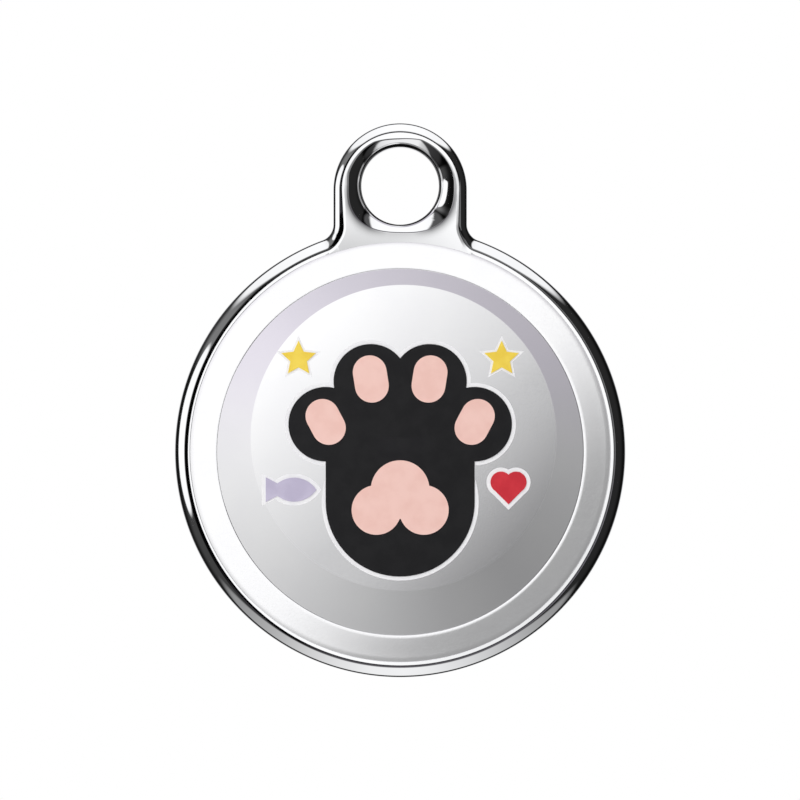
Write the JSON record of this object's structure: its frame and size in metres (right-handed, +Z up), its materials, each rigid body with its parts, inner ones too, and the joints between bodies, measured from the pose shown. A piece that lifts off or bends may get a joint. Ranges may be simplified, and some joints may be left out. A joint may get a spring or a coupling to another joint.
{
  "type": "pet gps tracker",
  "caption": "Round pet tracker pendant: polished frame with a collar loop, a printed front disc that is pressed, and a coin-turned rear cover over a coin cell.",
  "frame": {"origin": "centre of the collar loop's bore, halfway along its wall", "axes": "+Z up towards the top of the loop as the part hangs, +X to the right seen from the front, +Y towards the rear cover, so the printed front faces -Y"},
  "size_m": [0.04, 0.0139, 0.0491],
  "materials": {
    "chrome": "polished plating over a zinc casting",
    "silver_coat": "bright silver lacquer on moulded plastic",
    "carrier_plastic": "moulded",
    "silicone": "soft moulded silicone",
    "ink_white": "glossy cured ink",
    "ink_black": "glossy cured ink",
    "ink_peach": "glossy cured ink",
    "ink_lilac": "glossy cured ink",
    "ink_red": "glossy cured ink",
    "ink_yellow": "glossy cured ink",
    "cover_plastic": "fine spark texture",
    "seal_rubber": "smooth",
    "foam": "closed-cell foam",
    "cell_steel": "nickel-plated steel",
    "insulator_plastic": "moulded",
    "chassis_plastic": "glass-filled moulding",
    "screw_steel": "bright steel",
    "board_laminate": "green solder mask",
    "gold_contact": "gold-plated spring strip",
    "antenna_ceramic": "unglazed",
    "antenna_silver": "fired silver",
    "shield_tin": "tinned sheet",
    "chip_black": "moulded epoxy",
    "buzzer_plastic": "moulded",
    "capacitor_resin": "moulded resin",
    "parts_ceramic": "fired",
    "plunger_plastic": "moulded"
  },
  "bodies": {
    "housing": {"frame": "chrome", "front_band": "silver_coat", "diaphragm": "silicone", "chassis": "chassis_plastic", "frame_screws": "screw_steel", "main_board": "board_laminate", "board_screws": "screw_steel", "negative_spring": "gold_contact", "positive_spring": "gold_contact", "gnss_patch": "antenna_ceramic", "gnss_face": "antenna_silver", "modem_shield": "shield_tin", "modem_chip": "chip_black", "processor": "chip_black", "sim_chip": "chip_black", "memory_chip": "chip_black", "motion_sensor": "chip_black", "crystal": "shield_tin", "buzzer": "buzzer_plastic", "pulse_capacitor": "capacitor_resin", "small_parts": "parts_ceramic", "antenna_spring": "gold_contact", "switch_body": "chip_black", "switch_dome": "shield_tin", "cell_can": "cell_steel", "cell_cap": "cell_steel", "cell_insulator": "insulator_plastic"},
    "button": {"button_disc": "silver_coat", "button_carrier": "carrier_plastic", "print_white": "ink_white", "print_black": "ink_black", "print_peach": "ink_peach", "print_lilac": "ink_lilac", "print_red": "ink_red", "print_yellow": "ink_yellow", "switch_plunger": "plunger_plastic"},
    "cover": {"rear_cover": "cover_plastic", "cover_seal": "seal_rubber", "cell_pad": "foam"}
  },
  "joints": [
    {"name": "button_press", "type": "slide", "parent": "housing", "child": "button", "axis": [0, 1, 0], "range_m": [0, 0.0003], "stiffness_N_per_m": 800, "springref_m": -0.001, "deforming": ["diaphragm", "switch_dome"]},
    {"name": "cover_turn", "type": "hinge", "parent": "housing", "child": "cover", "pos_m": [0, 0.0095, -0.02361], "axis": [0, 1, 0], "range_deg": [0, 45]}
  ]
}
